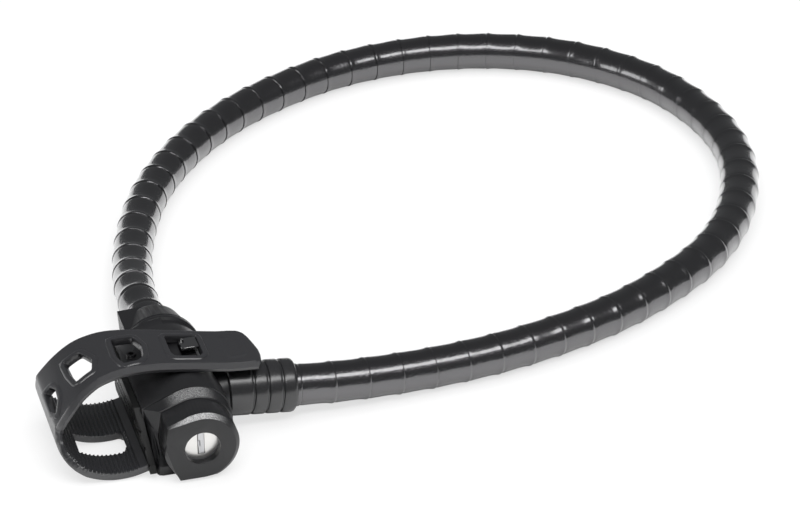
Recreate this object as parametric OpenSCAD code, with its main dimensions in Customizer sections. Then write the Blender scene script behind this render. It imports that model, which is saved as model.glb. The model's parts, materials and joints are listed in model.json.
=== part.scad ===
// Armoured cable lock: a loop of steel cups on a wire rope under a glossy skin,
// a lock head with a key cylinder, and a rubber holder strap for a round frame tube.
// The origin lies on the table, straight below the point where the key axis
// (along Y, nose towards -Y) crosses the socket axis (along X). Millimetres.

/* [Cable] */
// Outside diameter of the skin at its ridges
cable_d = 22; // [20:0.5:25]
// Thickness of the skin
skin_wall = 0.75; // [0.6:0.05:0.9]
// How far the skin drops behind each ridge
ridge_drop = 0.45; // [0.2:0.05:0.6]
// Length of one armour cup from rim to rim
cup_pitch = 18; // [16:0.5:20]
// Diameter of the wire rope
rope_d = 8; // [6:0.5:9]
// Gap that lets two neighbouring cups turn
cup_gap = 0.4; // [0.3:0.05:0.5]
// Turn of one cup in the next when the cable is swung open, in degrees
cup_turn = 5; // [2:0.5:6]

/* [Head] */
// Height of the key axis above the table
axis_h = 18.5; // [18:0.5:19.5]
// Distance from the socket axis to the nose face
nose_front = 50; // [46:1:56]
// Length of the smooth nose
nose_len = 16.5; // [14:0.5:20]
// Distance from the socket axis to the rear end
rear_len = 68; // [64:1:76]
// Length of the rear cover
rear_cover_len = 22; // [18:1:26]
// Radius of the round side of the head
body_r = 21; // [19.5:0.5:22]
// Radius of the nose
nose_r = 19; // [18:0.5:19.5]
// Radius of the nose face
face_r = 16.8; // [16:0.2:17.6]
// Radius of the rear end
rear_r = 14.5; // [14:0.5:16]
// Wall of the plastic shells
shell_wall = 2.4; // [2:0.2:2.6]
// Reach of the raked flat side, at its top edge
flat_side = 25; // [24:0.5:28]

/* [Lock] */
// Diameter of the key plug
plug_d = 16.8; // [16:0.2:17]
// Diameter of the recess in front of the key plug
recess_d = 18; // [17.4:0.2:18.6]
// Depth of the recess in front of the key plug
recess_depth = 4.5; // [3:0.5:6]
// Wall of the cylinder case
case_wall = 2.6; // [2:0.2:2.8]
// Running clearance of turning and sliding parts, per side
run_gap = 0.05; // [0.03:0.01:0.1]
// Number of detainer discs
disc_count = 8; // [5:1:9]
// Thickness of one detainer disc
disc_t = 1.9; // [1.6:0.1:2]
// Width of the keyway
key_w = 3.6; // [3:0.2:4]
// Height of the keyway
key_h = 11.8; // [10:0.2:12]
// Diameter of the locking tip
tip_d = 11.4; // [10:0.2:12]
// Gap round the tip in its socket, per side
socket_gap = 0.8; // [0.7:0.05:1]
// Travel of the locking slide
slide_travel = 3.5; // [3:0.1:3.6]
// Width of the groove in the locking tip
groove_w = 5; // [4.6:0.1:6]

/* [Collar] */
// Diameter of the ribbed collar
collar_d = 27.5; // [26:0.5:28]
// Distance from the head axis to the outer end of the collar
collar_reach = 58; // [54:1:62]
// Fall of the collar away from the head, in degrees
collar_fall = 5.5; // [4:0.5:7]
// Distance between two grooves of the collar
collar_rib = 7.6; // [6:0.2:9]

/* [Strap] */
// Width of the strap
strap_w = 38; // [34:1:42]
// Thickness of the strap
strap_t = 4.4; // [4:0.2:4.8]
// Middle of the strap along the head
strap_mid = 6; // [4:1:8]
// Distance from the key axis to the outer bend of the strap
strap_reach = 69; // [66:0.5:72]
// Distance from the key axis to the free end of the strap
tail_reach = 42; // [40:0.5:44]
// Width of the middle strap windows, across their straight part
window_w = 18; // [16:1:19]
// Thickness of the lower bands
band_t = 4; // [3:0.2:4.4]
// Width of the front band
front_band_w = 18; // [14:1:20]
// Width of the slot between the two bands
band_slot = 18; // [12:1:20]
// Height of a grip rib on the bands
grip_rib = 0.7; // [0.4:0.1:1]
// Thickness of the base plate
plate_t = 3.5; // [3:0.1:4]
// Gap round the catch in its window
catch_gap = 1.2; // [1:0.1:2]

/* [Hidden] */
$fn = 64;
eps = 0.01;
seat_gap = 0.3;    // rest gap between pieces that seat on each other
flex_count = 5;    // cups that turn when the cable is swung open
flex_first = 3;    // first of these joints, counted from the head
sides = 8;         // sides of the skin's rings

// ---- cable route -------------------------------------------------------------

// Middle of the cable, from inside the rear cover round to the collar
route = [
  [0, 36, 18.5], [0, 50, 18.5], [0, 66, 18.4], [0, 84, 18], [0, 104, 16.6], [3, 126, 13.6],
  [7, 148, 11.6], [13, 171, 11], [23, 200, 11], [36, 228, 11], [54, 256, 11],
  [76, 282, 11], [102, 305, 11], [132, 324, 11], [165, 339, 11], [200, 347, 11],
  [235, 348, 11], [270, 341, 11], [302, 326, 11], [329, 303, 11], [350, 273, 11],
  [362, 238, 11], [366, 202, 11], [362, 167, 11], [350, 133, 11], [332, 101, 11],
  [308, 73, 11], [278, 50, 11], [243, 30, 11], [205, 16, 11], [168, 7, 11],
  [132, 3, 11], [104, 1, 12], [80, 0, 13.4], [60, 0, 15], [40, 0, 17], [22, 0, 18.6]
];
steps = 6;         // points of the smooth curve between two route points

function knot(i) = route[max(0, min(len(route) - 1, i))];
function curve(i, t) =
  let (a = knot(i - 1), b = knot(i), c = knot(i + 1), d = knot(i + 2))
  0.5 * (2 * b + (c - a) * t + (2 * a - 5 * b + 4 * c - d) * t * t
         + (3 * b - a - 3 * c + d) * t * t * t);
fine = [for (i = [0 : len(route) - 2], k = [0 : steps - 1]) curve(i, k / steps),
        route[len(route) - 1]];
along = [for (i = 0, s = 0; i < len(fine);
              s = i < len(fine) - 1 ? s + norm(fine[i + 1] - fine[i]) : s, i = i + 1) s];
function table(k) = [for (i = [0 : len(fine) - 1]) [along[i], fine[i][k]]];
route_x = table(0);
route_y = table(1);
route_z = table(2);
function at(s) = [lookup(s, route_x), lookup(s, route_y), lookup(s, route_z)];

route_len = along[len(along) - 1];
skin_start = 20;                        // inside the rear cover
skin_end = route_len - 26;              // inside the collar
cups_start = skin_start + 6;
cup_count = floor((skin_end - cups_start - 4) / cup_pitch);
function joint_s(k) = cups_start + k * cup_pitch;
function joint(k) = at(joint_s(k));
flex_last = flex_first + flex_count - 1;
flex_points = [for (k = [flex_first : flex_last]) joint(k)];
echo(route_len = route_len, cup_count = cup_count, flex_points = flex_points);

// Turns a piece built along +Z so that it runs from point a towards point b
module along_line(a, b) {
  d = b - a;
  translate(a)
    rotate([0, acos(d[2] / norm(d)), atan2(d[1], d[0])])
      children();
}

// Rings of points square to the line from a to b
function ring(p, d, r) =
  let (t = d / norm(d), side = cross(t, [0, 0, 1]) / norm(cross(t, [0, 0, 1])),
       up = cross(side, t))
  [for (j = [0 : sides - 1]) let (w = 360 * j / sides)
    p + r * cos(w) * side + r * sin(w) * up];

// A closed tube skin through outer and inner rings, which pair up one to one
module ring_tube(outer, inner) {
  n = len(outer);
  points = [for (r = outer) each r, for (r = inner) each r];
  function id(layer, i, j) = (layer * n + i) * sides + (j % sides);
  walls = [for (i = [0 : n - 2], j = [0 : sides - 1]) each [
    [id(0, i, j), id(0, i, j + 1), id(0, i + 1, j)],
    [id(0, i, j + 1), id(0, i + 1, j + 1), id(0, i + 1, j)],
    [id(1, i, j), id(1, i + 1, j), id(1, i, j + 1)],
    [id(1, i, j + 1), id(1, i + 1, j), id(1, i + 1, j + 1)]]];
  ends = [for (j = [0 : sides - 1]) each [
    [id(0, 0, j), id(1, 0, j), id(0, 0, j + 1)],
    [id(1, 0, j), id(1, 0, j + 1), id(0, 0, j + 1)],
    [id(0, n - 1, j), id(0, n - 1, j + 1), id(1, n - 1, j)],
    [id(1, n - 1, j), id(0, n - 1, j + 1), id(1, n - 1, j + 1)]]];
  polyhedron(points, [for (f = concat(walls, ends)) f], convexity = 10);
}

skin_r = cable_d / 2;
skin_in = skin_r - skin_wall;
cup_r = skin_in * cos(180 / sides) - seat_gap - 0.1;
nose_ball = cup_r - 1.6;                // ball at the front of a cup
cup_in = nose_ball + cup_gap;           // inside of the next cup's rim
ridge_len = 1.6;                        // how soon the skin drops behind a ridge
skin_cut = 0.9;                         // half the gap between two turning skins

// Skin over the cups from joint a to joint b, with plain ends where asked
module skin(a, b, lead = 0, tail = 0) {
  span = [for (k = [a : b - 1]) let (p = joint(k), q = joint(k + 1), t = (q - p) / norm(q - p))
    each [[p + t * (k == a && lead == 0 ? skin_cut : 0), t, k == a && lead == 0 ? skin_r - 0.1 : skin_r],
          [p + t * (ridge_len + skin_cut), t, skin_r - ridge_drop]]];
  pb = joint(b);
  tb = (pb - joint(b - 1)) / norm(pb - joint(b - 1));
  head_rings = lead == 0 ? [] : let (p = at(joint_s(a) - lead), t = (joint(a) - p) / norm(joint(a) - p))
    [[p, t, skin_r - ridge_drop]];
  tail_rings = tail == 0
    ? [[pb - tb * skin_cut, tb, skin_r]]
    : let (p = at(joint_s(b) + tail), t = (p - pb) / norm(p - pb))
      [[pb, tb, skin_r], [pb + t * ridge_len, t, skin_r - ridge_drop], [p, t, skin_r - ridge_drop]];
  rings = concat(head_rings, span, tail_rings);
  ring_tube([for (r = rings) ring(r[0], r[1], r[2])], [for (r = rings) ring(r[0], r[1], skin_in)]);
}

// One armour cup, from its rim at z = 0 to the ball that sits in the next rim
module cup() {
  bore = rope_d / 2 + 1.2;
  function ball(z) = [sqrt(nose_ball * nose_ball - z * z), cup_pitch + z];
  rotate_extrude()
    polygon([[cup_in, 0], [cup_r + 0.1, 0], [cup_r - 0.1, cup_pitch - 4.6],
             ball(-1.8), ball(1), ball(nose_ball * 0.45), [bore, cup_pitch + nose_ball * 0.6],
             [bore, cup_pitch - 3], [cup_in, cup_pitch - 8]]);
}

module cups(a, b) {
  for (k = [a : b - 1]) along_line(joint(k), joint(k + 1)) cup();
}

// A closed solid rod through rings of points
module ring_rod(rings) {
  n = len(rings);
  function id(i, j) = i * sides + (j % sides);
  walls = [for (i = [0 : n - 2], j = [0 : sides - 1]) each [
    [id(i, j), id(i, j + 1), id(i + 1, j)],
    [id(i, j + 1), id(i + 1, j + 1), id(i + 1, j)]]];
  caps = [for (j = [1 : sides - 2]) each [
    [id(0, 0), id(0, j + 1), id(0, j)],
    [id(n - 1, 0), id(n - 1, j), id(n - 1, j + 1)]]];
  polyhedron([for (r = rings) each r], concat(walls, caps), convexity = 10);
}

// Wire rope from joint a to joint b, run on past them by lead and tail
module rope(a, b, lead = 0, tail = 0) {
  cut = 0.5;
  p = joint(a);
  q = joint(b);
  tp = (joint(a + 1) - p) / norm(joint(a + 1) - p);
  tq = (q - joint(b - 1)) / norm(q - joint(b - 1));
  start = lead > 0 ? [[at(joint_s(a) - lead), at(joint_s(a) - lead + 1) - at(joint_s(a) - lead)], [p, tp]]
    : [[p + tp * cut, tp]];
  middle = b - a < 2 ? [] : [for (k = [a + 1 : b - 1]) [joint(k), joint(k + 1) - joint(k - 1)]];
  end = tail > 0 ? [[q, tq], [at(joint_s(b) + tail), at(joint_s(b) + tail) - at(joint_s(b) + tail - 1)]]
    : [[q - tq * cut, tq]];
  ring_rod([for (r = concat(start, middle, end)) ring(r[0], r[1], rope_d / 2)]);
}

// ---- lock head ---------------------------------------------------------------

// Turns a flat x-z drawing into a solid from y = a to y = b
module sweep_y(a, b) {
  translate([0, b, 0]) rotate([90, 0, 0]) linear_extrude(b - a) children();
}

// A round solid about the key axis; the drawing's second number is y
module turned_y() {
  translate([0, 0, axis_h]) rotate([-90, 0, 0]) rotate_extrude() children();
}

module bore_y(r, a, b) {
  translate([0, a, axis_h]) rotate([-90, 0, 0]) cylinder(r = r, h = b - a);
}

// A cylinder along the socket axis from x = a to x = b
module bore_x(r, a, b) {
  translate([a, 0, axis_h]) rotate([0, 90, 0]) cylinder(r = r, h = b - a);
}

rake = 3.2;                             // how far the flat side leans in at its foot
flat_top = 30.5;                        // height of the flat side's top edge
flat_foot = 3;                          // height of its foot
front = -nose_front;
nose_back = front + nose_len;
body_front = nose_back;
body_back = rear_len - rear_cover_len;
rake_per_mm = rake / (flat_top - flat_foot);
function side_x(z, out = 0) = -flat_side - out + (flat_top - z) * rake_per_mm;
body_top = axis_h + body_r;

// Left side of the nose: distance from the axis at a height above the axis
nose_side = [[-16.9, -11.8], [-11.6, -14.3], [2.2, -18.4], [13.6, -17.2]];
function round_left(z) = -sqrt(max(0, nose_r * nose_r - z * z));
function nose_left(z) = min(lookup(z - axis_h, nose_side), round_left(z - axis_h));

// Section of the left part of the body, pulled in by a wall
module flank(w = 0) {
  polygon([
    [side_x(flat_top - w, -w), flat_top - w], [side_x(flat_foot + w, -w), flat_foot + w],
    [side_x(0, -w - 3.5), w], [0, w], [0, body_top - w - 0.2],
    [-7, body_top - w - 1.3]]);
}

shoulder = 8.5;                         // length of the flare from nose to body
module body_profile() {
  start = body_front + shoulder - 0.3;
  polygon([
    [0, start], [body_r, start], [body_r, body_back - 9],
    [body_r - 1.5, body_back - 8], [body_r - 1.5, body_back - 3], [body_r, body_back - 2.2],
    [body_r, body_back], [0, body_back]]);
}

// The nose's outline, grown by a margin, about the key axis
module grown_outline(grow) {
  intersection() {
    scale((nose_r + grow) / nose_r) nose_section(nose_r);
    translate([-30, 0.6 - axis_h]) square([60, 60]);
  }
}

// Flare from the nose's outline to the body's, with a fine raised lip at its front
module flare() {
  hull() {
    translate([0, 0, axis_h]) sweep_y(body_front, body_front + eps) grown_outline(0);
    translate([0, 0, axis_h]) sweep_y(body_front + 0.5, body_front + 0.5 + eps) grown_outline(0.5);
    sweep_y(body_front + shoulder - eps, body_front + shoulder) {
      flank(0.4);
      intersection() {
        translate([0, axis_h]) circle(r = body_r - 0.4);
        translate([-30, 0]) square([60, 60]);
      }
    }
  }
}

boss_r = 14;                            // boss round the socket mouth
boss_face = body_r + 1.5;
core_x = [-13, 13];
core_y = [-14, 14];
core_h = 11.5;                          // half the height of the steel core
case_r = plug_d / 2 + run_gap + case_wall;
anchor_r = 11.5;                        // steel tube that holds the rope's fixed end

// Facet from the body's shoulder down to the lobe at the foot of the nose's left side
lobe_front = front + 8;
module facet() {
  difference() {
    hull() {
      sweep_y(body_front + shoulder - eps, body_front + shoulder)
        intersection() {
          flank(0.9);
          translate([-40, 0]) square([26, 26]);
        }
      sweep_y(body_front + 0.5, body_front + 0.5 + eps) polygon(concat(
        [for (z = [6 : 6 : 24]) [nose_left(z) + 0.1, z]], [[-12, 24], [-12, 6]]));
      translate([0, 0, 0.8]) linear_extrude(5) polygon([
        [-12, lobe_front], [-18.6, lobe_front], [-20.4, lobe_front + 0.7],
        [-21.4, lobe_front + 2.4], [-21.6, lobe_front + 9], [-12, lobe_front + 9]]);
    }
    // room for the nose cap and the base plate
    translate([0, 0, axis_h]) sweep_y(front, body_front)
      scale((nose_r + 0.25) / nose_r) nose_section(nose_r);
    translate([-11.8, front, -1]) cube([30, nose_len, 20]);
    sweep_y(front, body_front + shoulder) polygon([
      [side_x(40, -0.3), 40], [side_x(-2, -0.3), -2], [-50, -2], [-50, 40]]);
    // arched recess beside the plate, with ribs left standing in it
    difference() {
      sweep_y(lobe_front - 1, body_front + shoulder) polygon([
        [-30, 27.5], [-23.6, 27.5], [-21.6, 23], [-20, 17], [-19.4, 12], [-19.9, 9], [-21, 7.5],
        [-30, 7.5]]);
      translate([-30, 0, 0]) rotate([90, 0, 90]) linear_extrude(20) polygon([
        [lobe_front + 5.2, 5], [lobe_front + 5.2, 8], [body_front + 6, 27], [body_front + 20, 40],
        [body_front + 20, 5]]);
      for (k = [0 : 1])
        translate([side_x(15, -2 - 1.7 * k), body_front, 15]) rotate([0, -atan(rake_per_mm), 0])
          intersection() {
            translate([0, -20, -20]) cube([0.8, 40, 40]);
            rotate([90, 0, 90]) translate([0, -15, -2]) linear_extrude(5) polygon([
              [-6, 5], [-6, 8], [3.6, 27], [15, 40], [15, 5]]);
          }
    }
  }
}

module main_housing() color("dimgray")
  difference() {
    union() {
      intersection() {
        turned_y() body_profile();
        translate([-body_r - 5, front, 0]) cube([2 * body_r + 10, rear_len - front, 60]);
      }
      sweep_y(body_front + shoulder - 0.3, body_back - 2.2) flank();
      flare();
      facet();
      bore_x(boss_r, 0, boss_face);
      // ring boss on the sloping shoulder
      translate([-20, strap_far - 3, body_top - 8.5]) cylinder(d = 5, h = 3);
    }
    translate([-20, strap_far - 3, body_top - 7]) cylinder(d = 2.8, h = 4);
    // room for the core, the cylinder case and the anchor tube
    translate([core_x[0] - seat_gap, core_y[0] - 7, axis_h - core_h - seat_gap])
      cube([core_x[1] - core_x[0] + 2 * seat_gap, core_y[1] - core_y[0] + 7 + seat_gap,
            2 * core_h + 2 * seat_gap]);
    bore_y(case_r + seat_gap, body_front - 1, core_y[0] - 6);
    bore_y(anchor_r + seat_gap, core_y[1] - 1, body_back + 1);
    bore_x(tip_d / 2 + 3, core_x[1] - 1, boss_face + 1);
    case_pin_at() cylinder(r = 1.25, h = case_wall + 2.6);
    // seat of the catch
    translate([catch_x - catch_l / 2, catch_y - catch_w / 2, catch_foot])
      cube([catch_l, catch_w, 20]);
    // holes of the plate screws
    for (y = plate_screw_y) plate_screw_at(y) cylinder(d = 2.6, h = 7);
  }

module nose_section(r) {
  circle(r = r);
  polygon(concat([[0, -0.93 * r]], [for (p = nose_side) [p[1], p[0]]],
                 [[-6, r * 0.94], [0, r * 0.99]]));
}

module nose_outline(r) {
  intersection() {
    nose_section(r);
    translate([-30, 1 - axis_h]) square([60, 50]);
  }
}

bevel = 2.2;                            // bevel round the nose face
module nose_cap() color("dimgray")
  difference() {
    translate([0, 0, axis_h]) {
      sweep_y(front + bevel, nose_back - 0.1) nose_outline(nose_r);
      // bevelled front edge
      intersection() {
        hull() {
          sweep_y(front, front + eps) nose_outline(face_r);
          sweep_y(front + bevel, front + bevel + eps) nose_outline(nose_r);
        }
        sweep_y(front - 1, front + bevel + 1) nose_outline(nose_r);
      }
    }
    bore_y(recess_d / 2, front - 1, front + recess_depth + eps);
    bore_y(case_r + seat_gap, front + recess_depth, nose_back + 1);
    cover_screw_at(cover_screw_y[0]) cylinder(d = 2.4, h = cover_screw_l);
  }

module rear_cover() color("dimgray")
  difference() {
    union() {
      turned_y() polygon([
        [0, body_back + 0.1], [body_r - 0.3, body_back + 0.1], [body_r - 0.3, body_back + 1.8],
        [body_r - 1.5, body_back + 3], [rear_r + 1.6, rear_len - 3], [rear_r, rear_len], [0, rear_len]]);
      intersection() {
        sweep_y(body_back + 0.1, rear_len) polygon([
          [-17.5, axis_h + 13.5], [-15.5, axis_h - 12], [0, axis_h - 14], [0, axis_h + 14.4]]);
        translate([-30, 0, 0]) cube([60, 100, 60]);
      }
    }
    translate([-40, 0, -20]) cube([80, 120, 20]);
    bore_y(anchor_r + seat_gap, 0, body_back + 6);
    bore_y(skin_r + seat_gap, body_back + 5, rear_len + 1);
    bore_y(skin_r + 1.8, rear_len - 6, rear_len - 3);
    cover_screw_at(cover_screw_y[1]) cylinder(d = 2.4, h = cover_screw_l);
  }

module rear_seal() color("black")
  difference() {
    bore_y(skin_r + 1.5, rear_len - 5.8, rear_len - 3.2);
    bore_y(skin_r + 0.1, rear_len - 7, rear_len);
  }

// ---- socket, core and cylinder ------------------------------------------------

socket_r = tip_d / 2 + socket_gap;
socket_end = -8;
blade_w = 4;
plate_y = core_y[0] - 5.2;              // front of the locking slide's plate
plate_len = 3;
blade_low = axis_h - core_h + 1.4;
blade_top = axis_h - tip_d / 2 - 0.4;
ferrule_r = 7.5;

module lock_core() color("silver")
  difference() {
    union() {
      translate([core_x[0], core_y[0], axis_h - core_h])
        cube([core_x[1] - core_x[0], core_y[1] - core_y[0], 2 * core_h]);
      bore_y(anchor_r, core_y[1] - 1, body_back + 5);
    }
    bore_x(socket_r, socket_end, core_x[1] + 1);
    // channel of the locking slide's blade
    translate([-blade_w / 2 - 0.15, core_y[0] - 1, blade_low - 0.2])
      cube([blade_w + 0.3, 1 + 5 - core_y[0], axis_h - blade_low]);
    bore_y(ferrule_r + 0.1, core_y[1] + 2, body_back + 6);
    translate([0, anchor_y, axis_h - anchor_r - 1]) cylinder(r = 2.05, h = 2 * anchor_r + 2);
    cover_screw_at(cover_screw_y[1]) cylinder(d = 2.4, h = cover_screw_l);
  }

anchor_y = 30;

module rope_ferrule() color("gainsboro")
  difference() {
    bore_y(ferrule_r, core_y[1] + 2.3, body_back + 4);
    bore_y(rope_d / 2 + seat_gap, anchor_y + 5.5, body_back + 5);
    translate([0, anchor_y, axis_h - ferrule_r - 1]) cylinder(r = 2.05, h = 2 * ferrule_r + 2);
  }

module anchor_pin() color("silver")
  translate([0, anchor_y, axis_h - anchor_r + 0.2]) cylinder(r = 2, h = 2 * anchor_r - 0.4);

module cylinder_case() color("gainsboro")
  difference() {
    bore_y(case_r, front + recess_depth + 0.1, core_y[0] - 6.4);
    bore_y(plug_d / 2 + run_gap, front, core_y[0] - 6);
    case_pin_at() cylinder(r = 1.25, h = 10);
    cover_screw_at(cover_screw_y[0]) cylinder(d = 2.4, h = cover_screw_l);
  }

module case_pin_at() {
  translate([0, front + 24, axis_h]) rotate([90, 0, 90]) translate([0, 0, plug_d / 2 + 0.6]) children();
}

module case_pin() color("silver")
  case_pin_at() cylinder(r = 1.2, h = case_wall + 2.4);

plug_face = front + recess_depth + 0.1;
plug_head = 5.4;
discs_front = plug_face + plug_head;
discs_back = discs_front + disc_count * disc_t;
blade_slot = 2.5;                       // width of the key blade's slot in the discs
flap_x = -key_w / 2 + 0.8;              // hinge line of the shutter

module keyway(a, b) {
  translate([-key_w / 2 + 1.1, a, axis_h - key_h / 2 + 0.8])
    cube([blade_slot, b - a, key_h - 1.6]);
}

module key_plug() color("silver")
  difference() {
    bore_y(plug_d / 2, plug_face, discs_front);
    translate([-key_w / 2, plug_face - 1, axis_h - key_h / 2]) cube([key_w, 1 + 4.6, key_h]);
    keyway(plug_face, discs_front + 1);
    translate([flap_x, plug_face + 0.8, axis_h - key_h / 2 - 1.1]) cylinder(r = 0.5, h = key_h + 2.2);
  }

module detainer_discs() color("goldenrod")
  for (k = [0 : disc_count - 1])
    difference() {
      bore_y(plug_d / 2 - 0.25, discs_front + k * disc_t + 0.03, discs_front + (k + 1) * disc_t - 0.03);
      keyway(discs_front - 1, discs_back + 1);
      // side notch of the disc
      translate([plug_d / 2 - 1.4, discs_front - 1, axis_h - 0.8 + (k % 3 - 1) * 1.5])
        cube([3, discs_back - discs_front + 2, 1.6]);
    }

cam_back = core_y[0] - 5.6;
crank = slide_travel / (2 * sin(45));   // throw of the crank pin for a quarter turn
crank_r = 1.3;

module drive_cam() color("silver")
  union() {
    bore_y(plug_d / 2, discs_back + 0.05, cam_back - 0.9);
    translate([crank * cos(45), 0, -crank * sin(45)])
      bore_y(crank_r, cam_back - 1, plate_y + plate_len - 0.3);
  }

module keyway_shutter() color("white")
  difference() {
    union() {
      translate([flap_x, plug_face + 0.35, axis_h - key_h / 2 + 0.1])
        cube([key_w / 2 - flap_x - 0.12, 0.9, key_h - 0.2]);
      translate([flap_x, plug_face + 0.8, axis_h - key_h / 2 - 1]) cylinder(r = 0.45, h = key_h + 2);
    }
    // room for the spring's coil round the pivot
    difference() {
      translate([flap_x, plug_face + 0.8, axis_h - spring_h / 2 - 0.1])
        cylinder(r = 0.9, h = spring_h + 0.2);
      translate([flap_x, plug_face + 0.8, axis_h - spring_h]) cylinder(r = 0.45, h = 2 * spring_h);
    }
  }

spring_h = 3;
module shutter_spring() color("gray")
  translate([flap_x, plug_face + 0.8, axis_h - spring_h / 2])
    difference() {
      cylinder(r = 0.72, h = spring_h);
      translate([0, 0, -1]) cylinder(r = 0.5, h = spring_h + 2);
    }

module locking_slide() color("gainsboro")
  difference() {
    union() {
      translate([-6.5, plate_y, blade_low]) cube([13, plate_len, axis_h + 5 - blade_low]);
      translate([-blade_w / 2, plate_y + plate_len - 1, blade_low])
        cube([blade_w, 4.6 - plate_y - plate_len, blade_top - blade_low]);
    }
    // cross slot of the crank pin
    translate([crank * cos(45) - crank_r - 0.3, plate_y - 1, axis_h - crank * sin(45) - crank_r - 0.25])
      cube([crank * (1 - cos(45)) + 2 * crank_r + 0.6, plate_len + 2, 2 * crank_r + 0.5]);
  }

module socket_bush() color("dimgray")
  difference() {
    bore_x(tip_d / 2 + 2.8, core_x[1] + 0.1, boss_face - 1.2);
    bore_x(socket_r, core_x[1] - 1, boss_face + 1);
  }

module socket_seal() color("black")
  difference() {
    bore_x(tip_d / 2 + 2.8, boss_face - 1.1, boss_face);
    bore_x(socket_r, core_x[1] - 1, boss_face + 1);
  }

// ---- tip and collar ------------------------------------------------------------

tip_flange = boss_face + 0.4;

module locking_tip() color("silver")
  union() {
    translate([0, 0, axis_h]) rotate([0, 90, 0]) rotate_extrude() polygon([
      [0, socket_end + 2.5], [tip_d / 2 - 2, socket_end + 2.5], [tip_d / 2, socket_end + 4.5],
      [tip_d / 2, -groove_w / 2], [blade_top - axis_h + tip_d / 2 + 0.4 + 2.0, -groove_w / 2],
      [2.0, groove_w / 2], [tip_d / 2, groove_w / 2], [tip_d / 2, tip_flange],
      [8.2, tip_flange], [8.2, tip_flange + 3], [0, tip_flange + 3]]);
  }

// Places a piece in the fallen frame of the collar, whose origin is the flange's middle
module collar_frame() {
  translate([tip_flange + 3, 0, axis_h]) rotate([0, 90 + collar_fall, 0]) children();
}

collar_len = (collar_reach - tip_flange - 3) / cos(collar_fall);

module tip_ferrule() color("gainsboro")
  collar_frame() difference() {
    translate([0, 0, 1]) cylinder(r = 6.6, h = 16.6);
    translate([0, 0, 3]) cylinder(r = rope_d / 2 + seat_gap, h = 20);
  }

module collar() color("black")
  difference() {
    collar_body();
    // its back is cut square to the socket
    translate([boss_face + seat_gap + 0.3 - 30, -30, 0]) cube([30, 60, 60]);
  }

module collar_body() {
  collar_frame() difference() {
    rotate_extrude() {
      r = collar_d / 2;
      groove = 0.55;
      back = -4.5;
      ribs = floor((collar_len - back) / collar_rib);
      grooves = [for (k = [1 : ribs]) collar_len - k * collar_rib];
      polygon(concat(
        [[0, back], [r, back]],
        [for (g = [for (k = [len(grooves) - 1 : -1 : 0]) grooves[k]]) if (g > 4)
          each [[r - 0.1, g - groove], [r - 0.9, g - groove * 0.6], [r - 0.9, g + groove * 0.6],
                [r - 0.1, g + groove], [r + 0.1, g + collar_rib / 2]]],
        [[r - 0.2, collar_len - 1.6], [r - 1.6, collar_len], [0, collar_len]]));
    }
    translate([0, 0, -8]) cylinder(r = 8.9, h = 9.4);
    cylinder(r = 6.9, h = 18.2);
    translate([0, 0, 18]) cylinder(r = skin_r + 0.6, h = 30);
  }
}

// ---- strap ---------------------------------------------------------------------

// Outer line of the strap, seen along the head from the nose, tail first
bend = strap_reach / 69;
tail = tail_reach / 42;
function up(x, z) = [x * (x < 0 ? bend : tail), body_top + z];
tail_line = [up(42, -1.2), up(38, 0), up(26, 0.8), up(14, 2.7), up(0, 5), up(-12, 6.8), up(-25, 8.1),
             up(-35, 7.7), up(-45, 5.3), up(-53, 1.2), up(-60, -4.3), up(-65.4, -9.9),
             up(-68.2, -13.3), up(-68.7, -14.7), up(-68.8, -15.5)];
hinge_at = up(-68.8, -15.7);
band_line = [hinge_at - [0, 0.2], [-69.1 * bend, 19], [-67 * bend, 13], [-62.4 * bend, 8.2],
             [-56.6 * bend, 4.4], [-50 * bend, 1.8], [-43 * bend, 0.6], [-36 * bend, 0.6],
             [side_x(flat_foot, 8.8), 1.4], [side_x(flat_foot, 2), 3.4]];

function normals(line) = [for (i = [0 : len(line) - 1])
  let (a = line[max(0, i - 1)], b = line[min(len(line) - 1, i + 1)], d = (b - a) / norm(b - a))
  [-d[1], d[0]]];
function inner(line, t) = let (n = normals(line)) [for (i = [0 : len(line) - 1]) line[i] + t * n[i]];
module band(line, t) {
  back = inner(line, t);
  polygon(concat(line, [for (i = [len(back) - 1 : -1 : 0]) back[i]]));
}

strap_near = strap_mid - strap_w / 2;
strap_far = strap_mid + strap_w / 2;
band_near = strap_far - 65;
catch_x = 6.8;
catch_y = 9.9;
catch_l = 8.6;
catch_w = 11;
catch_foot = body_top - 4.5;
catch_top = body_top + 3;

// Window through the tail, drawn about a point of its outer line
module tail_window(x, z, turn, points) {
  p = up(x, z);
  translate([p[0], strap_mid, p[1]]) rotate([0, turn, 0])
    translate([0, 0, -9]) linear_extrude(18)
      polygon([for (q = points) [q[0], q[1] * window_w / 18]]);
}

// The strap seen from above: it widens towards its bend
module tail_plan() {
  polygon([
    [tail_reach, strap_near + 1], [-12, strap_near + 0.3], [-31, strap_near - 1.4],
    [-45.7, strap_near - 3.2], [-54.9, strap_near - 5.9], [-60, strap_near - 8.5],
    [-65, strap_near - 10.5], [-strap_reach - 1, strap_near - 12.8],
    [-strap_reach - 1, strap_far + 3.5], [-50, strap_far + 3.5], [-36, strap_far + 2.5],
    [-17, strap_far], [13, strap_far - 2], [tail_reach, strap_far - 2]]);
}

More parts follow.
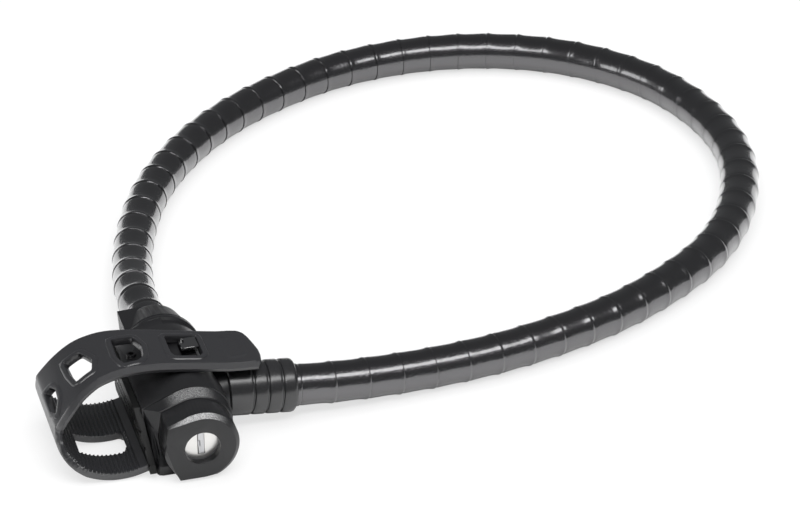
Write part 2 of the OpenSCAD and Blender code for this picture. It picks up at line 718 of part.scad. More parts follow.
module strap_tail() color("dimgray")
  difference() {
    intersection() {
      sweep_y(strap_near - 13, strap_far + 4) band(tail_line, strap_t);
      linear_extrude(body_top + 20) tail_plan();
    }
    // window over the catch
    translate([catch_x - catch_l / 2 - 6.4, catch_y - catch_w / 2 - 7.5, body_top - 9])
      cube([catch_l + 6.4 + catch_gap, catch_w + 7.5 + catch_gap, 20]);
    tail_window(-24.5, 6.5, 0,
      [[-6.6, 10], [4.5, 10.5], [7.3, 3], [6, -8], [2.5, -12], [-5, -13.5], [-7, -6]]);
    tail_window(-50, 2, -36,
      [[-7, 9], [2.2, 9], [7.2, -1.7], [5.1, -10.7], [-4.2, -12.5], [-6.3, -2]]);
    tail_window(-65.5, -11.5, -62,
      [[-3.5, 6.5], [0.5, 6.5], [3.5, -2], [3, -12], [-1, -20.5], [-4.5, -15.5], [-4.5, -6]]);
    // slanted corners of the tail
    translate([tail_reach, strap_mid - 4, body_top - 9]) rotate([0, 0, 17]) cube([20, 40, 20]);
    translate([tail_reach - 1, strap_mid - 15, body_top - 9]) rotate([0, 0, -52])
      translate([0, -20, 0]) cube([20, 40, 20]);
  }

// The lower bands seen from the side of the bend: they widen towards the table
module bands_plan() {
  polygon([
    [band_near + 0.5, -1], [band_near + 1.3, 4.5], [band_near + 3.6, 7.8],
    [band_near + 7.5, 11.4], [band_near + 11, 18], [strap_near - 13, hinge_at[1] + 1],
    [strap_far + 3.5, hinge_at[1] + 1], [strap_far + 3.5, 10], [strap_far + 1, -1]]);
}

slot_start = -strap_reach + 10;
slot_end = side_x(flat_foot, plate_t + 5.7);   // keeps clear of the base plate
module strap_bands() color("dimgray")
  difference() {
    intersection() {
      union() {
        sweep_y(band_near, strap_far + 4) band(band_line, band_t);
        // grip ribs across the bands
        grip = inner(band_line, band_t);
        for (i = [3 : len(band_line) - 2], k = [0 : 2]) {
          p = grip[i] + (grip[i + 1] - grip[i]) * k / 3;
          translate([p[0], band_near, p[1]]) rotate([-90, 0, 0])
            cylinder(r = grip_rib, h = strap_far + 4 - band_near, $fn = 6);
        }
      }
      translate([-strap_reach - 10, 0, 0]) rotate([90, 0, 90]) linear_extrude(60) bands_plan();
    }
    // their ends stand against the base plate
    sweep_y(band_near - 1, strap_far + 5) polygon([
      [side_x(40, plate_t + seat_gap), 40], [side_x(-2, plate_t + seat_gap), -2], [0, -2], [0, 40]]);
    // slot between the bands
    translate([0, band_near + front_band_w, -1]) linear_extrude(15)
      polygon([
        [slot_start, 0], [slot_end - 3, 0], [slot_end, 4], [slot_end, band_slot - 3],
        [slot_end - 2, band_slot], [slot_start, band_slot]]);
  }

module base_plate() color("dimgray")
  difference() {
    intersection() {
      sweep_y(band_near - 3, plate_far + 1) polygon([
        [side_x(flat_top - 0.5, 0.1), flat_top - 0.5], [side_x(flat_foot, 0.1), flat_foot],
        [side_x(flat_foot, plate_t), flat_foot], [side_x(flat_top - 0.5, plate_t), flat_top - 0.5]]);
      // its front edge leans forward to the foot
      translate([-60, 0, 0]) rotate([90, 0, 90]) linear_extrude(60) polygon([
        [band_near - 2.5, 0], [band_near - 2.5, 8], [strap_near - 9, flat_top],
        [plate_far, flat_top], [plate_far - 2, 0]]);
    }
    // long grooves on its outside
    for (z = [8, 14.5, 21])
      translate([side_x(z, plate_t), 0, z]) rotate([0, -atan(rake_per_mm), 0])
        translate([-1, band_near - 3, -0.6]) cube([1.7, plate_far - band_near + 5, 1.2]);
    for (y = plate_screw_y) plate_screw_at(y) {
      translate([0, 0, -6]) cylinder(d = 2.6, h = 10);
      translate([0, 0, -8]) cylinder(d = 5, h = 6.2);
    }
  }

plate_far = body_back - 5;              // rear edge of the base plate
plate_screw_y = [-16, 6, 28];
plate_screw_z = 17;
module plate_screw_at(y) {
  translate([side_x(plate_screw_z), y, plate_screw_z])
    rotate([0, 90 - atan(rake_per_mm), 0]) children();
}

module plate_screws() color("silver")
  for (y = plate_screw_y) plate_screw_at(y) {
    translate([0, 0, -plate_t + 0.2]) cylinder(d = 4.6, h = 1.4);
    translate([0, 0, -plate_t + 1]) cylinder(d = 2.3, h = plate_t + 4.6);
  }

cover_screw_x = 2;
cover_screw_y = [body_front - 3, body_back + 2.2];
cover_screw_l = axis_h - anchor_r + 1.4;
module cover_screw_at(y) {
  translate([cover_screw_x, y, 0]) children();
}

module cover_screws() color("silver")
  for (y = cover_screw_y) cover_screw_at(y)
    translate([0, 0, 2.4]) cylinder(d = 2.2, h = cover_screw_l - 2.6);

module strap_catch() color("gray")
  difference() {
    translate([catch_x - catch_l / 2 + 0.1, catch_y - catch_w / 2 + 0.1, catch_foot + 0.1])
      cube([catch_l - 0.2, catch_w - 0.2, catch_top - catch_foot]);
    // the side that lets the window swing off leans back
    translate([catch_x + catch_l / 2 - 0.1, catch_y - 20, catch_foot + 3])
      rotate([0, -6, 0]) cube([5, 40, 20]);
  }

// ---- cable nodes ------------------------------------------------------------------

module skin_fixed() color("darkslategray") skin(0, flex_first, lead = cups_start - skin_start);
module cups_fixed() color("silver") cups(0, flex_first);
module rope_fixed() color("gray") rope(0, flex_first, lead = joint_s(0) - 0.5);
module skin_link(k) { color("darkslategray") skin(flex_first + k - 1, flex_first + k); }
module cup_link(k) { color("silver") cups(flex_first + k - 1, flex_first + k); }
module rope_link(k) { color("gray") rope(flex_first + k - 1, flex_first + k); }
module skin_free() color("darkslategray")
  skin(flex_last, cup_count, tail = skin_end - joint_s(cup_count));
// The cups of the free part, in four stretches
free_step = ceil((cup_count - flex_last) / 4);
module free_cups(k) {
  a = flex_last + k * free_step;
  color("silver") cups(a, min(a + free_step, cup_count));
}
module rope_free() color("gray") rope(flex_last, cup_count, tail = route_len - 12 - joint_s(cup_count));

nose_cap();
main_housing();
rear_cover();
lock_core();
cylinder_case();
key_plug();
detainer_discs();
drive_cam();
keyway_shutter();
shutter_spring();
locking_slide();
case_pin();
socket_bush();
socket_seal();
rear_seal();
rope_ferrule();
anchor_pin();
strap_catch();
base_plate();
plate_screws();
cover_screws();
strap_bands();
strap_tail();
locking_tip();
tip_ferrule();
collar();
rope_fixed();
cups_fixed();
skin_fixed();
rope_link(1);  // rope_link_1
cup_link(1);  // cup_link_1
skin_link(1);  // skin_link_1
rope_link(2);  // rope_link_2
cup_link(2);  // cup_link_2
skin_link(2);  // skin_link_2
rope_link(3);  // rope_link_3
cup_link(3);  // cup_link_3
skin_link(3);  // skin_link_3
rope_link(4);  // rope_link_4
cup_link(4);  // cup_link_4
skin_link(4);  // skin_link_4
rope_free();
free_cups(0);  // cups_left
free_cups(1);  // cups_back
free_cups(2);  // cups_right
free_cups(3);  // cups_front
skin_free();
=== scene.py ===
import json
import math
from contextlib import contextmanager

import bmesh
import bpy
import numpy as np
from mathutils import Matrix, Vector, geometry


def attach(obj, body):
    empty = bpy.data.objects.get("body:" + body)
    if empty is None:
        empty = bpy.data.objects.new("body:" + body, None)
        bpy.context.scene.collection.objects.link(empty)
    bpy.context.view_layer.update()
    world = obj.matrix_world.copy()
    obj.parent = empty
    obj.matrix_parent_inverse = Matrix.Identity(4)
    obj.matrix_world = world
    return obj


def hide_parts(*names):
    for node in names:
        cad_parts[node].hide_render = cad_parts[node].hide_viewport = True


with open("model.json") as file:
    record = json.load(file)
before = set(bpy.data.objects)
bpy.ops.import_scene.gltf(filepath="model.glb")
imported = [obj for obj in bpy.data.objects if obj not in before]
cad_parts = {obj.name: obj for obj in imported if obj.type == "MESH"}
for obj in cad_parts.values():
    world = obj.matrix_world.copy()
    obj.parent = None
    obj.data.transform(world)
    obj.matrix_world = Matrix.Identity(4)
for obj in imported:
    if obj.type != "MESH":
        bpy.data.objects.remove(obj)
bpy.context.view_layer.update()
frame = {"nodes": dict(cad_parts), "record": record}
mm = 0.001
print("frame loaded")


# Plain helpers

def addObject(name, data):
    obj = bpy.data.objects.new(name, data)
    bpy.context.scene.collection.objects.link(obj)
    return obj


def meshFrom(name, points, faces):
    mesh = bpy.data.meshes.new(name)
    mesh.from_pydata([tuple(p) for p in points], [], faces)
    mesh.update()
    return mesh


@contextmanager
def editing(mesh):
    work = bmesh.new()
    work.from_mesh(mesh)
    yield work
    work.to_mesh(mesh)
    work.free()


# A closed solid with its faces turned outwards and without unused points
def solidFrom(name, points, faces):
    mesh = meshFrom(name, points, faces)
    with editing(mesh) as work:
        loose = [v for v in work.verts if not v.link_faces]
        bmesh.ops.delete(work, geom=loose, context="VERTS")
        bmesh.ops.recalc_face_normals(work, faces=work.faces)
    return addObject(name, mesh)


def smoothByAngle(obj, degrees):
    for face in obj.data.polygons:
        face.use_smooth = True
    obj.data.set_sharp_from_angle(angle=math.radians(degrees))


def applyModifiers(obj):
    bpy.context.view_layer.update()
    evaluated = obj.evaluated_get(bpy.context.evaluated_depsgraph_get())
    mesh = bpy.data.meshes.new_from_object(evaluated)
    old = obj.data
    obj.modifiers.clear()
    obj.data = mesh
    bpy.data.meshes.remove(old)


def bevelEdges(obj, width, segments, degrees):
    bevel = obj.modifiers.new("bevel", "BEVEL")
    bevel.width = width
    bevel.segments = segments
    bevel.limit_method = "ANGLE"
    bevel.angle_limit = math.radians(degrees)
    bevel.use_clamp_overlap = True
    applyModifiers(obj)


def finishPiece(obj, body, look, node):
    obj.data.materials.clear()
    obj.data.materials.append(looks[look])
    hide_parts(node)
    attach(obj, body)
    return obj


# A math node on numbers and other nodes' outputs
def mathNode(tree, operation, *values):
    node = tree.nodes.new("ShaderNodeMath")
    node.operation = operation
    for slot, value in zip(node.inputs, values):
        if isinstance(value, bpy.types.NodeSocket):
            tree.links.new(value, slot)
        else:
            slot.default_value = value
    return node.outputs[0]


# A node that maps an output from one span to another
def rangeNode(tree, value, span, target=(0.0, 1.0), smooth=False):
    node = tree.nodes.new("ShaderNodeMapRange")
    if smooth:
        node.interpolation_type = "SMOOTHSTEP"
    node.inputs["From Min"].default_value, node.inputs["From Max"].default_value = span
    node.inputs["To Min"].default_value, node.inputs["To Max"].default_value = target
    tree.links.new(value, node.inputs["Value"])
    return node.outputs["Result"]


# Camera

cameraSizes = {
    "place": (-0.3043, -1.4618, 0.9569),
    "look": (0.2387, 0.8325, -0.5),
    "lens": 157.5,
    "sensor": 36.0,
    "farthest": 50,
}


def makeCamera():
    data = bpy.data.cameras.new("camera")
    data.lens = cameraSizes["lens"]
    data.sensor_width = cameraSizes["sensor"]
    data.sensor_fit = "HORIZONTAL"
    data.clip_end = cameraSizes["farthest"]
    camera = addObject("camera", data)
    camera.location = cameraSizes["place"]
    camera.rotation_euler = Vector(cameraSizes["look"]).to_track_quat("-Z", "Y").to_euler()
    bpy.context.scene.camera = camera


makeCamera()


# Materials

def shader(name, color, metallic=0.0, roughness=0.5, coat=0.0, coatRoughness=0.1, specular=0.5,
           ior=1.5):
    material = bpy.data.materials.new(name)
    material.use_nodes = True
    body = material.node_tree.nodes["Principled BSDF"]
    body.inputs["Base Color"].default_value = (*color, 1)
    body.inputs["Metallic"].default_value = metallic
    body.inputs["Roughness"].default_value = roughness
    body.inputs["Coat Weight"].default_value = coat
    body.inputs["Coat Roughness"].default_value = coatRoughness
    body.inputs["Specular IOR Level"].default_value = specular
    body.inputs["IOR"].default_value = ior
    return material


def addGrain(material, scale, strength, distance, detail=3.0):
    tree = material.node_tree
    coords = tree.nodes.new("ShaderNodeTexCoord")
    noise = tree.nodes.new("ShaderNodeTexNoise")
    noise.inputs["Scale"].default_value = scale
    noise.inputs["Detail"].default_value = detail
    tree.links.new(coords.outputs["Object"], noise.inputs["Vector"])
    bump = tree.nodes.new("ShaderNodeBump")
    bump.inputs["Strength"].default_value = strength
    bump.inputs["Distance"].default_value = distance
    tree.links.new(noise.outputs["Fac"], bump.inputs["Height"])
    tree.links.new(bump.outputs["Normal"], tree.nodes["Principled BSDF"].inputs["Normal"])
    return material


# Coarse grain in one zone of the head, with pale specks mixed into the base colour there as a painted
# highlight where the light catches the grain:
# between two places along it, fading in between two heights and fading out between two distances to either
# side of a line
noseZone = {
    "along": (-49.9 * mm, -47.6 * mm),
    "heights": (26.5 * mm, 33.5 * mm),
    "line": -1.5 * mm,
    "aside": (4 * mm, 17 * mm),
    "scale": 2200,
    "coarse": 0.4,
    "fine": 0.04,
    "distance": 0.2 * mm,
    # grey of the painted highlight that the specks mix into the base colour
    "paintedGlint": 0.7,
    "paintedSpecks": (0.12, 0.75),    # share of the painted highlight's grey in the noise's hollows and on its crests
}
bandZone = {
    "along": (-32.9 * mm, -25.5 * mm),
    "heights": (29.5 * mm, 38 * mm),
    "line": -1 * mm,
    "aside": (5 * mm, 14.5 * mm),
    "scale": 1900,
    "coarse": 0.6,
    "fine": 0.04,
    "distance": 0.2 * mm,
    "paintedGlint": 0.3,
    "paintedSpecks": (0.0, 0.9),
}
noiseSpan = (0.3, 0.7)         # where nearly all of the noise's values lie


def addGrainAndPaintedGlint(material, zone):
    addGrain(material, zone["scale"], zone["coarse"], zone["distance"], detail=2.0)
    tree = material.node_tree
    nodes = {node.type: node for node in tree.nodes}
    split = tree.nodes.new("ShaderNodeSeparateXYZ")
    tree.links.new(nodes["TEX_COORD"].outputs["Object"], split.inputs[0])
    front, rear = zone["along"]
    inside = mathNode(tree, "MULTIPLY", mathNode(tree, "GREATER_THAN", split.outputs["Y"], front),
                      mathNode(tree, "LESS_THAN", split.outputs["Y"], rear))
    # the coarse bump and the painted highlight fade in with height, towards the top where the light falls
    risen = rangeNode(tree, split.outputs["Z"], zone["heights"], smooth=True)
    aside = mathNode(tree, "ABSOLUTE", mathNode(tree, "SUBTRACT", split.outputs["X"], zone["line"]))
    near = rangeNode(tree, aside, zone["aside"], (1.0, 0.0), smooth=True)
    share = mathNode(tree, "MULTIPLY", mathNode(tree, "MULTIPLY", inside, risen), near)
    strength = rangeNode(tree, share, (0.0, 1.0), (zone["fine"], zone["coarse"]))
    tree.links.new(strength, nodes["BUMP"].inputs["Strength"])
    # pale specks in the base colour, brightest on the noise's crests: a painted highlight, not the plastic's
    # own colour
    paintedSpecks = rangeNode(tree, nodes["TEX_NOISE"].outputs["Fac"], noiseSpan, zone["paintedSpecks"])
    body = nodes["BSDF_PRINCIPLED"]
    paint = tree.nodes.new("ShaderNodeMix")
    paint.data_type = "RGBA"
    paint.inputs["A"].default_value = tuple(body.inputs["Base Color"].default_value)
    paint.inputs["B"].default_value = (zone["paintedGlint"], zone["paintedGlint"], zone["paintedGlint"], 1)
    tree.links.new(mathNode(tree, "MULTIPLY", share, paintedSpecks), paint.inputs["Factor"])
    tree.links.new(paint.outputs["Result"], body.inputs["Base Color"])
    return material


# The skin is smoked and glossy over dark steel cups, so it is drawn as dark metal under a clear coat
skinLook = shader("cable skin", (0.122, 0.12, 0.124), metallic=1.0, roughness=0.25, coat=1.0,
                  coatRoughness=0.07)
satinLook = shader("satin plastic", (0.011, 0.011, 0.012), roughness=0.32)
grainLook = shader("grained plastic", (0.011, 0.011, 0.012), roughness=0.32)
coverLook = shader("cover plastic", (0.01, 0.01, 0.011), roughness=0.42, specular=0.4)
strapLook = shader("strap rubber", (0.019, 0.019, 0.021), roughness=0.31, specular=1.0)
collarLook = shader("collar rubber", (0.016, 0.016, 0.017), roughness=0.27, specular=0.9)
plugLook = shader("plug steel", (0.74, 0.73, 0.71), metallic=1.0, roughness=0.28)
catchLook = shader("catch plastic", (0.005, 0.005, 0.0055), roughness=0.14, coat=1.0, specular=1.0,
                   ior=1.8)
looks = {
    "skin": addGrain(skinLook, scale=620, strength=0.5, distance=0.3 * mm, detail=4.0),
    "satin": addGrainAndPaintedGlint(satinLook, noseZone),
    "grain": addGrainAndPaintedGlint(grainLook, bandZone),
    "cover": addGrain(coverLook, scale=900, strength=0.1, distance=0.05 * mm),
    "strap": addGrain(strapLook, scale=900, strength=0.06, distance=0.05 * mm),
    "collar": addGrain(collarLook, scale=1000, strength=0.12, distance=0.05 * mm),
    "plug": addGrain(plugLook, scale=1800, strength=0.15, distance=0.03 * mm),
    "catch": addGrain(catchLook, scale=900, strength=0.03, distance=0.05 * mm),
    "plate": shader("plate plastic", (0.006, 0.006, 0.006), roughness=0.5, specular=0.3),
    "steel": shader("steel", (0.55, 0.55, 0.56), metallic=1.0, roughness=0.32),
    "cups": shader("cup steel", (0.3, 0.3, 0.31), metallic=1.0, roughness=0.35),
    "rope": shader("wire rope", (0.45, 0.45, 0.46), metallic=1.0, roughness=0.35),
    "zinc": shader("zinc", (0.42, 0.42, 0.43), metallic=0.8, roughness=0.45),
    "brass": shader("brass", (0.66, 0.5, 0.24), metallic=1.0, roughness=0.3),
    "seal": shader("seal rubber", (0.012, 0.012, 0.012), roughness=0.6),
}
slotLooks = {
    "satin_plastic": "satin", "grained_plastic": "grain", "steel": "steel", "zinc": "zinc",
    "plug_steel": "plug", "shutter_steel": "steel", "brass": "brass", "bush_plastic": "satin",
    "seal_rubber": "seal", "catch_plastic": "catch", "strap_rubber": "strap",
    "collar_rubber": "collar", "wire_rope": "rope", "cup_steel": "cups", "cable_skin": "skin",
}
slotOf = {entry["node"]: entry["material_slot"] for entry in frame["record"]["subparts"]}
bodyOf = {node: body for body, nodes in frame["record"]["behaviour"]["bodies"].items() for node in nodes}
for node, obj in frame["nodes"].items():
    obj.data.materials.clear()
    obj.data.materials.append(looks[slotLooks[slotOf[node]]])
print("materials made")


# Cable

cableSizes = {
    "diameter": 22 * mm,
    "pitch": 18 * mm,
    "skinStart": 20 * mm,
    "skinInset": 26 * mm,          # skin's end, counted back from the route's end
    "cupsStart": 26 * mm,
    "cupsClear": 4 * mm,           # least length of skin past the last joint
    "flexFirst": 3,                # first joint that bends
    "flexCount": 5,
    "stepsPerSpan": 6,
    "sides": 56,
    "wallRadius": 9.75 * mm,       # inside of the skin
    "rimBore": 10.35 * mm,         # wider bore at a joint that bends
    "rimBoreDepth": 2.3 * mm,
    "rimBoreEnd": 3 * mm,
    "tail": 1.2 * mm,              # reach of a stretch past its last joint, into the next one's bore
    "tailTaper": 0.4 * mm,
    "tailRadii": (10.06 * mm, 10 * mm),
    "leadRadius": 10.3 * mm,       # plain start under the rear cover
    "leadClear": 0.5 * mm,
    "endRadius": 10.4 * mm,        # plain end in the collar
    "endClear": 1 * mm,
    "endStep": 0.1 * mm,           # length of the slant at an end
    "smoothing": 50,               # greatest angle, in degrees, that is shaded smooth
}
ropeSizes = {
    "radius": 4 * mm,
    "middleShare": 0.93,           # the lobed outline's mean radius against the rope's
    "strands": 6,
    "lobes": 0.06,                 # how far a strand stands out, against the mean radius
    "lay": 60 * mm,                # length of one turn of the strands
    "clear": 0.5 * mm,             # between a rope's end and its joint
    "inset": 12 * mm,              # free rope's end, counted back from the route's end
    "endStep": 0.1 * mm,
    "tipRadius": 0.001 * mm,
    "stepsPerCup": 4,
    "sides": 36,
}
# Middle of the cable, from inside the rear cover round to the collar, in millimetres
routeMm = [
    (0, 36, 18.5), (0, 50, 18.5), (0, 66, 18.4), (0, 84, 18), (0, 104, 16.6), (3, 126, 13.6),
    (7, 148, 11.6), (13, 171, 11), (23, 200, 11), (36, 228, 11), (54, 256, 11),
    (76, 282, 11), (102, 305, 11), (132, 324, 11), (165, 339, 11), (200, 347, 11),
    (235, 348, 11), (270, 341, 11), (302, 326, 11), (329, 303, 11), (350, 273, 11),
    (362, 238, 11), (366, 202, 11), (362, 167, 11), (350, 133, 11), (332, 101, 11),
    (308, 73, 11), (278, 50, 11), (243, 30, 11), (205, 16, 11), (168, 7, 11),
    (132, 3, 11), (104, 1, 12), (80, 0, 13.4), (60, 0, 15), (40, 0, 17), (22, 0, 18.6),
]
route = [Vector(p) * mm for p in routeMm]
# Skin radius against the distance from a cup's rim, both in millimetres
shellShape = [(0.1, 10.78), (0.35, 10.92), (0.8, 10.97), (1.4, 10.9), (2.3, 10.68), (3.6, 10.52),
              (6, 10.45), (10, 10.5), (14, 10.62), (16.2, 10.7), (17.2, 10.64), (17.8, 10.46)]
tiny = 1e-6


def curvePoint(line, i, t):
    a, b, c, d = (line[max(0, min(len(line) - 1, i + k))] for k in (-1, 0, 1, 2))
    return 0.5 * (2 * b + (c - a) * t + (2 * a - 5 * b + 4 * c - d) * t * t
                  + (3 * b - a - 3 * c + d) * t * t * t)


def smoothLine(line, steps):
    fine = [curvePoint(line, i, k / steps) for i in range(len(line) - 1) for k in range(steps)]
    return fine + [line[-1]]


def lengthsAlong(line):
    total = [0.0]
    for a, b in zip(line, line[1:]):
        total.append(total[-1] + (b - a).length)
    return total


fineRoute = smoothLine(route, cableSizes["stepsPerSpan"])
fineAlong = lengthsAlong(fineRoute)


def routeAt(s):
    for i in range(len(fineAlong) - 1):
        if s <= fineAlong[i + 1] or i == len(fineAlong) - 2:
            part = (s - fineAlong[i]) / (fineAlong[i + 1] - fineAlong[i])
            return fineRoute[i].lerp(fineRoute[i + 1], part)


routeLength = fineAlong[-1]
skinEnd = routeLength - cableSizes["skinInset"]
cupCount = int((skinEnd - cableSizes["cupsStart"] - cableSizes["cupsClear"]) / cableSizes["pitch"])
jointS = [cableSizes["cupsStart"] + k * cableSizes["pitch"] for k in range(cupCount + 1)]
jointAt = [routeAt(s) for s in jointS]
flexFirst = cableSizes["flexFirst"]
flexLast = flexFirst + cableSizes["flexCount"] - 1


# Straight within a cup, turning only at the joints
def cableAt(s):
    k = int((s - jointS[0]) / cableSizes["pitch"] + tiny)
    if s <= jointS[0] or k >= cupCount:
        return routeAt(s)
    return jointAt[k].lerp(jointAt[k + 1], (s - jointS[k]) / cableSizes["pitch"])


# Outer and inner (distance, radius) pairs of the skin between two joints
def skinStations(first, last, lead, tail):
    size = cableSizes
    wall, bore, step = size["wallRadius"], size["rimBore"], size["endStep"]
    start = jointS[first] - lead
    if lead:
        outer = [(start, wall), (start + step, size["leadRadius"]),
                 (jointS[first] - size["leadClear"], size["leadRadius"])]
        inner = [(start, wall)]
    else:
        outer = [(start, bore)]
        inner = [(start, bore), (start + size["rimBoreDepth"], bore), (start + size["rimBoreEnd"], wall)]
    for k in range(first, last):
        outer += [(jointS[k] + d * mm, r * mm) for d, r in shellShape]
    if tail:
        end = jointS[last] + tail
        outer += [(jointS[last] + d * mm, r * mm) for d, r in shellShape if d * mm < tail - size["endClear"]]
        outer += [(end - step, size["endRadius"]), (end, wall)]
        inner += [(end - step, wall), (end, wall)]
    else:
        end = jointS[last] + size["tail"]
        outer += [(end - size["tailTaper"], size["tailRadii"][0]), (end - step, size["tailRadii"][1]),
                  (end, wall)]
        inner += [(end, wall)]
    return outer, inner


# Inner stations at every joint that the wall passes, so that it turns with the cable
def filledInner(inner):
    wall = cableSizes["wallRadius"]
    first = next(s for s, r in inner if r == wall)
    last = inner[-1][0]
    extra = [(s, wall) for s in jointS if first + tiny < s < last - tiny]
    return sorted(set(inner + extra))


def inputId(group, name):
    return next(item.identifier for item in group.interface.items_tree
                if item.item_type == "SOCKET" and item.in_out == "INPUT" and item.name == name)


# Sweeps circles along polylines whose points carry a radius; inner lines face inwards
def tubeGroup():
    group = bpy.data.node_groups.new("tube along a line", "GeometryNodeTree")
    for name, kind in (("Geometry", "Geometry"), ("Sides", "Int"), ("Twist", "Float"),
                       ("Lobes", "Float"), ("Material", "Material")):
        group.interface.new_socket(name, in_out="INPUT", socket_type="NodeSocket" + kind)
    group.interface.new_socket("Geometry", in_out="OUTPUT", socket_type="NodeSocketGeometry")
    nodes, links = group.nodes, group.links
    entry = nodes.new("NodeGroupInput").outputs

    def pointValue(name):
        node = nodes.new("GeometryNodeInputNamedAttribute")
        node.data_type = "FLOAT"
        node.inputs["Name"].default_value = name
        return node.outputs["Attribute"]

    # a circle, or a lobed outline like the strands of a rope
    circle = nodes.new("GeometryNodeCurvePrimitiveCircle")
    circle.inputs["Radius"].default_value = 1.0
    links.new(entry["Sides"], circle.inputs["Resolution"])
    around = mathNode(group, "DIVIDE", nodes.new("GeometryNodeInputIndex").outputs[0], entry["Sides"])
    angle = mathNode(group, "MULTIPLY", around, 2 * math.pi * ropeSizes["strands"])
    depth = mathNode(group, "MULTIPLY_ADD", mathNode(group, "COSINE", angle), entry["Lobes"], 1.0)
    lobed = nodes.new("ShaderNodeVectorMath")
    lobed.operation = "SCALE"
    links.new(nodes.new("GeometryNodeInputPosition").outputs[0], lobed.inputs[0])
    links.new(depth, lobed.inputs["Scale"])
    profile = nodes.new("GeometryNodeSetPosition")
    links.new(circle.outputs["Curve"], profile.inputs["Geometry"])
    links.new(lobed.outputs[0], profile.inputs["Position"])

    radius = pointValue("radius")
    isInner = pointValue("inner")
    join = nodes.new("GeometryNodeJoinGeometry")
    for inward in (False, True):
        pick = nodes.new("FunctionNodeCompare")
        pick.data_type = "FLOAT"
        pick.operation = "GREATER_THAN" if inward else "LESS_THAN"
        pick.inputs[1].default_value = 0.5
        links.new(isInner, pick.inputs[0])
        toCurve = nodes.new("GeometryNodeMeshToCurve")
        links.new(entry["Geometry"], toCurve.inputs["Mesh"])
        links.new(pick.outputs["Result"], toCurve.inputs["Selection"])
        normal = nodes.new("GeometryNodeSetCurveNormal")
        normal.mode = "Z_UP"
        links.new(toCurve.outputs["Curve"], normal.inputs["Curve"])
        tilt = nodes.new("GeometryNodeSetCurveTilt")
        links.new(normal.outputs["Curve"], tilt.inputs["Curve"])
        along = nodes.new("GeometryNodeSplineParameter").outputs["Length"]
        links.new(mathNode(group, "MULTIPLY", along, entry["Twist"]), tilt.inputs["Tilt"])
        sweep = nodes.new("GeometryNodeCurveToMesh")
        links.new(tilt.outputs["Curve"], sweep.inputs["Curve"])
        links.new(profile.outputs["Geometry"], sweep.inputs["Profile Curve"])
        links.new(radius, sweep.inputs["Scale"])
        wall = sweep.outputs["Mesh"]
        if inward:
            flip = nodes.new("GeometryNodeFlipFaces")
            links.new(wall, flip.inputs["Mesh"])
            wall = flip.outputs["Mesh"]
        links.new(wall, join.inputs["Geometry"])
    merge = nodes.new("GeometryNodeMergeByDistance")
    merge.inputs["Distance"].default_value = 0.01 * mm
    links.new(join.outputs["Geometry"], merge.inputs["Geometry"])
    real = nodes.new("GeometryNodeRealizeInstances")
    links.new(merge.outputs["Geometry"], real.inputs["Geometry"])
    paint = nodes.new("GeometryNodeSetMaterial")
    links.new(real.outputs["Geometry"], paint.inputs["Geometry"])
    links.new(entry["Material"], paint.inputs["Material"])
    links.new(paint.outputs["Geometry"], nodes.new("NodeGroupOutput").inputs["Geometry"])
    return group


tube = tubeGroup()


# Each wall is a list of (distance, radius) stations along the cable; the second one faces inwards
def sweptPiece(name, walls, look, sides, twist=0.0, lobes=0.0):
    points, edges, radii, inner = [], [], [], []
    for index, stations in enumerate(walls):
        base = len(points)
        points += [tuple(cableAt(s)) for s, r in stations]
        radii += [r for s, r in stations]
        inner += [float(index)] * len(stations)
        edges += [(base + i, base + i + 1) for i in range(len(stations) - 1)]
    mesh = bpy.data.meshes.new(name)
    mesh.from_pydata(points, edges, [])
    mesh.attributes.new("radius", "FLOAT", "POINT").data.foreach_set("value", radii)
    mesh.attributes.new("inner", "FLOAT", "POINT").data.foreach_set("value", inner)
    obj = addObject(name, mesh)
    modifier = obj.modifiers.new("tube", "NODES")
    modifier.node_group = tube
    for label, value in (("Sides", sides), ("Twist", twist), ("Lobes", lobes), ("Material", looks[look])):
        modifier[inputId(tube, label)] = value
    applyModifiers(obj)
    smoothByAngle(obj, cableSizes["smoothing"])
    return obj


def skinPiece(name, first, last, body, node, lead=0.0, tail=0.0):
    outer, inner = skinStations(first, last, lead, tail)
    obj = sweptPiece(name, [outer, filledInner(inner)], "skin", cableSizes["sides"])
    return finishPiece(obj, body, "skin", node)


def ropePiece(name, start, end, body, node):
    size = ropeSizes
    steps = size["stepsPerCup"]
    marks = [start] + [s for s in jointS if start < s < end] + [end]
    fine = [a + (b - a) * k / steps for a, b in zip(marks, marks[1:]) for k in range(steps)]
    radius = size["radius"] * size["middleShare"]
    stations = [(start, size["tipRadius"]), (start + size["endStep"], radius)]
    stations += [(s, radius) for s in fine[1:]]
    stations += [(end - size["endStep"], radius), (end, size["tipRadius"])]
    obj = sweptPiece(name, [stations], "rope", size["sides"], twist=2 * math.pi / size["lay"],
                     lobes=size["lobes"])
    return finishPiece(obj, body, "rope", node)


ropeClear = ropeSizes["clear"]
skins = [skinPiece("skin_at_head", 0, flexFirst, "head", "skin_fixed",
                   lead=cableSizes["cupsStart"] - cableSizes["skinStart"])]
ropes = [ropePiece("rope_at_head", ropeClear, jointS[flexFirst] - ropeClear, "head", "rope_fixed")]
for k in range(1, cableSizes["flexCount"]):
    first = flexFirst + k - 1
    skins.append(skinPiece(f"skin_of_link_{k}", first, first + 1, f"link_{k}", f"skin_link_{k}"))
    ropes.append(ropePiece(f"rope_of_link_{k}", jointS[first] + ropeClear, jointS[first + 1] - ropeClear,
                           f"link_{k}", f"rope_link_{k}"))
freeSkin = skinPiece("skin_of_free_end", flexLast, cupCount, "free_end", "skin_free",
                     tail=skinEnd - jointS[cupCount])
freeRope = ropePiece("rope_of_free_end", jointS[flexLast] + ropeClear, routeLength - ropeSizes["inset"],
                     "free_end", "rope_free")


# Strap

